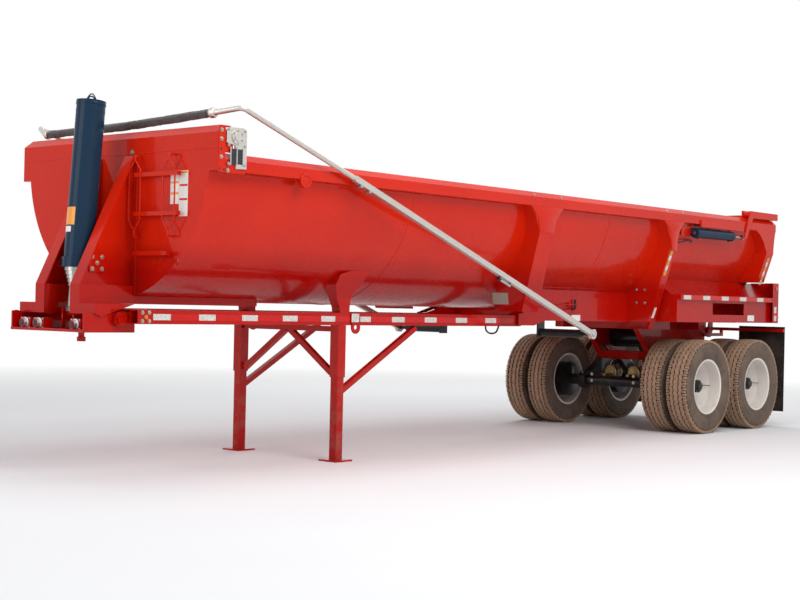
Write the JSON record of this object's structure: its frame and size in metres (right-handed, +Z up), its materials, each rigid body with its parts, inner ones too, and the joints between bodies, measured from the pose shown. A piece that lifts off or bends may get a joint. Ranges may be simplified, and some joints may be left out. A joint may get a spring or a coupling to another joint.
{
  "type": "frameless end dump trailer",
  "caption": "Half-round end dump semi-trailer with a tilting tub, draft frame, telescopic front hoist, tandem axles, high-lift tailgate and a flip tarp.",
  "frame": {"origin": "on the ground below the middle of the outer box, as it parks on its wheels and legs", "axes": "+X forwards to the kingpin, +Y to the trailer's left, +Z up"},
  "size_m": [10.4, 2.698, 3.0964],
  "materials": {
    "red_paint": "gloss enamel",
    "hoist_paint": "gloss black-blue",
    "black_iron": "semi-gloss black",
    "white_rim": "gloss white",
    "tyre": "rubber",
    "flap_rubber": "matt black",
    "aluminium": "mill finish",
    "bare_steel": "machined",
    "chrome_rod": "ground and chromed",
    "tarp_mesh": "woven mesh"
  },
  "bodies": {
    "suspension": {"subframe": "red_paint", "air_tanks": "black_iron", "axle_front": "black_iron", "axle_rear": "black_iron", "walking_beams": "black_iron", "brake_chambers": "black_iron", "mud_flaps": "flap_rubber"},
    "wheel_front_left": {"tyres_front_left": "tyre", "rims_front_left": "white_rim", "hub_front_left": "black_iron"},
    "wheel_front_right": {"tyres_front_right": "tyre", "rims_front_right": "white_rim", "hub_front_right": "black_iron"},
    "wheel_rear_left": {"tyres_rear_left": "tyre", "rims_rear_left": "white_rim", "hub_rear_left": "black_iron"},
    "wheel_rear_right": {"tyres_rear_right": "tyre", "rims_rear_right": "white_rim", "hub_rear_right": "black_iron"},
    "tub": {"tub_shell": "red_paint", "bulkhead": "red_paint", "top_rails": "red_paint", "side_ribs": "red_paint", "rear_rails": "red_paint", "tub_crossmembers": "red_paint", "front_sills": "red_paint", "hoist_gussets": "red_paint", "rest_saddles": "red_paint", "fenders": "red_paint", "bulkhead_ladder": "red_paint", "tarp_gear": "aluminium", "gate_brackets": "red_paint", "tarp_pivots": "black_iron"},
    "tailgate": {"tailgate": "red_paint"},
    "gate_barrels": {"gate_cylinder_barrels": "hoist_paint"},
    "gate_rods": {"gate_cylinder_rods": "chrome_rod"},
    "draft_frame": {"draft_arms": "red_paint", "draft_crossmembers": "red_paint", "landing_legs": "red_paint", "leg_braces": "red_paint"},
    "coupler": {"coupler_plate": "red_paint", "kingpin": "bare_steel", "connectors": "red_paint"},
    "hoist_barrel": {"hoist_barrel": "hoist_paint"},
    "hoist_stage_1": {"hoist_stage_1": "chrome_rod"},
    "hoist_stage_2": {"hoist_stage_2": "chrome_rod"},
    "hoist_stage_3": {"hoist_stage_3": "chrome_rod"},
    "hoist_stage_4": {"hoist_stage_4": "chrome_rod"},
    "hoist_stage_5": {"hoist_stage_5": "chrome_rod"},
    "hoist_stage_6": {"hoist_stage_6": "chrome_rod"},
    "tarp_bow": {"tarp_arms": "aluminium", "tarp_bow": "aluminium", "tarp_roll": "tarp_mesh"}
  },
  "joints": [
    {"name": "spin_front_left", "type": "hinge", "parent": "suspension", "child": "wheel_front_left", "pos_m": [-3.26, 0.983, 0.552], "axis": [0, 1, 0], "continuous": true},
    {"name": "spin_front_right", "type": "hinge", "parent": "suspension", "child": "wheel_front_right", "pos_m": [-3.26, -0.983, 0.552], "axis": [0, 1, 0], "continuous": true},
    {"name": "spin_rear_left", "type": "hinge", "parent": "suspension", "child": "wheel_rear_left", "pos_m": [-4.505, 0.983, 0.552], "axis": [0, 1, 0], "continuous": true},
    {"name": "spin_rear_right", "type": "hinge", "parent": "suspension", "child": "wheel_rear_right", "pos_m": [-4.505, -0.983, 0.552], "axis": [0, 1, 0], "continuous": true},
    {"name": "tub_tilt", "type": "hinge", "parent": "suspension", "child": "tub", "pos_m": [-4.96, 0, 1.16], "axis": [0, -1, 0], "range_deg": [0, 40]},
    {"name": "draft_swing", "type": "hinge", "parent": "tub", "child": "draft_frame", "pos_m": [-0.31, 0, 1.3], "axis": [0, 1, 0], "range_deg": [0, 74.9]},
    {"name": "coupler_pitch", "type": "hinge", "parent": "draft_frame", "child": "coupler", "pos_m": [4.866, 0, 1.274], "axis": [0, -1, 0], "range_deg": [0, 34.9]},
    {"name": "hoist_swing", "type": "hinge", "parent": "tub", "child": "hoist_barrel", "pos_m": [4.9, 0, 1.72], "axis": [0, 1, 0], "range_deg": [0, 39.3]},
    {"name": "tailgate_swing", "type": "hinge", "parent": "tub", "child": "tailgate", "pos_m": [-4.24, 0, 2.642], "axis": [0, 1, 0], "range_deg": [0, 65]},
    {"name": "gate_cylinder_pitch", "type": "hinge", "parent": "tub", "child": "gate_barrels", "pos_m": [-2.9, 0, 2.347], "axis": [0, 1, 0], "range_deg": [0, 1.2]},
    {"name": "gate_cylinder_stroke", "type": "slide", "parent": "gate_barrels", "child": "gate_rods", "axis": [-1, 0, 0.0034], "range_m": [0, 0.36]},
    {"name": "tarp_swing", "type": "hinge", "parent": "tub", "child": "tarp_bow", "pos_m": [-0.687, 0, 1.176], "axis": [0, -1, 0], "range_deg": [0, 146]},
    {"name": "stage_1_slide", "type": "slide", "parent": "hoist_barrel", "child": "hoist_stage_1", "axis": [0.073, 0, -0.9973], "range_m": [0, 1.04]},
    {"name": "stage_2_slide", "type": "slide", "parent": "hoist_stage_1", "child": "hoist_stage_2", "axis": [0.073, 0, -0.9973], "range_m": [0, 1.04]},
    {"name": "stage_3_slide", "type": "slide", "parent": "hoist_stage_2", "child": "hoist_stage_3", "axis": [0.073, 0, -0.9973], "range_m": [0, 1.04]},
    {"name": "stage_4_slide", "type": "slide", "parent": "hoist_stage_3", "child": "hoist_stage_4", "axis": [0.073, 0, -0.9973], "range_m": [0, 1.04]},
    {"name": "stage_5_slide", "type": "slide", "parent": "hoist_stage_4", "child": "hoist_stage_5", "axis": [0.073, 0, -0.9973], "range_m": [0, 1.04]},
    {"name": "stage_6_slide", "type": "slide", "parent": "hoist_stage_5", "child": "hoist_stage_6", "axis": [0.073, 0, -0.9973], "range_m": [0, 1.04]}
  ],
  "couplings": [
    {"joint": "draft_swing", "follows": "tub_tilt", "ratio": 1.8723},
    {"joint": "coupler_pitch", "follows": "tub_tilt", "ratio": 0.87232},
    {"joint": "hoist_swing", "follows": "tub_tilt", "ratio": 0.98079},
    {"joint": "stage_1_slide", "follows": "tub_tilt", "m_per_rad": 1.4874},
    {"joint": "stage_2_slide", "follows": "tub_tilt", "m_per_rad": 1.4874},
    {"joint": "stage_3_slide", "follows": "tub_tilt", "m_per_rad": 1.4874},
    {"joint": "stage_4_slide", "follows": "tub_tilt", "m_per_rad": 1.4874},
    {"joint": "stage_5_slide", "follows": "tub_tilt", "m_per_rad": 1.4874},
    {"joint": "stage_6_slide", "follows": "tub_tilt", "m_per_rad": 1.4874},
    {"joint": "gate_cylinder_pitch", "follows": "tailgate_swing", "ratio": 0.0154},
    {"joint": "gate_cylinder_stroke", "follows": "tailgate_swing", "m_per_rad": 0.3112}
  ]
}
